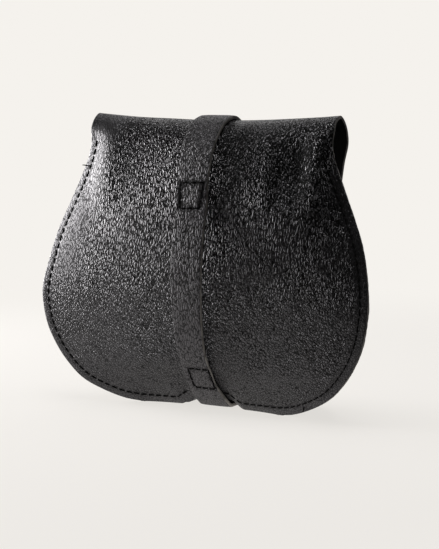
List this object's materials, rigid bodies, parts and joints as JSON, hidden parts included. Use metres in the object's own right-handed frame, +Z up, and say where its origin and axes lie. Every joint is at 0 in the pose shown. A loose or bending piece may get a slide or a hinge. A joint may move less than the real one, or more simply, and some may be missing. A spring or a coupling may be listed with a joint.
{
  "type": "belt pouch",
  "caption": "Round-bottomed leather belt pouch with a fold-over flap, a strap round it that forms the belt loop, and a keeper on the front.",
  "frame": {"origin": "on the surface that the pouch stands on, under the middle of the whole pouch's box", "axes": "+Z up; -Y towards the wearer, the side with the belt loop; +Y to the front, the side with the flap and keeper; X across the width, symmetric about X = 0"},
  "size_m": [0.1812, 0.0698, 0.1466],
  "materials": {
    "pebbled_leather": "soft-sheen pebble grain",
    "strap_leather": "soft-sheen fine grain"
  },
  "bodies": {
    "root": {"back_and_flap": "pebbled_leather", "front_panel": "pebbled_leather", "strap": "strap_leather", "keeper": "strap_leather"}
  },
  "joints": []
}
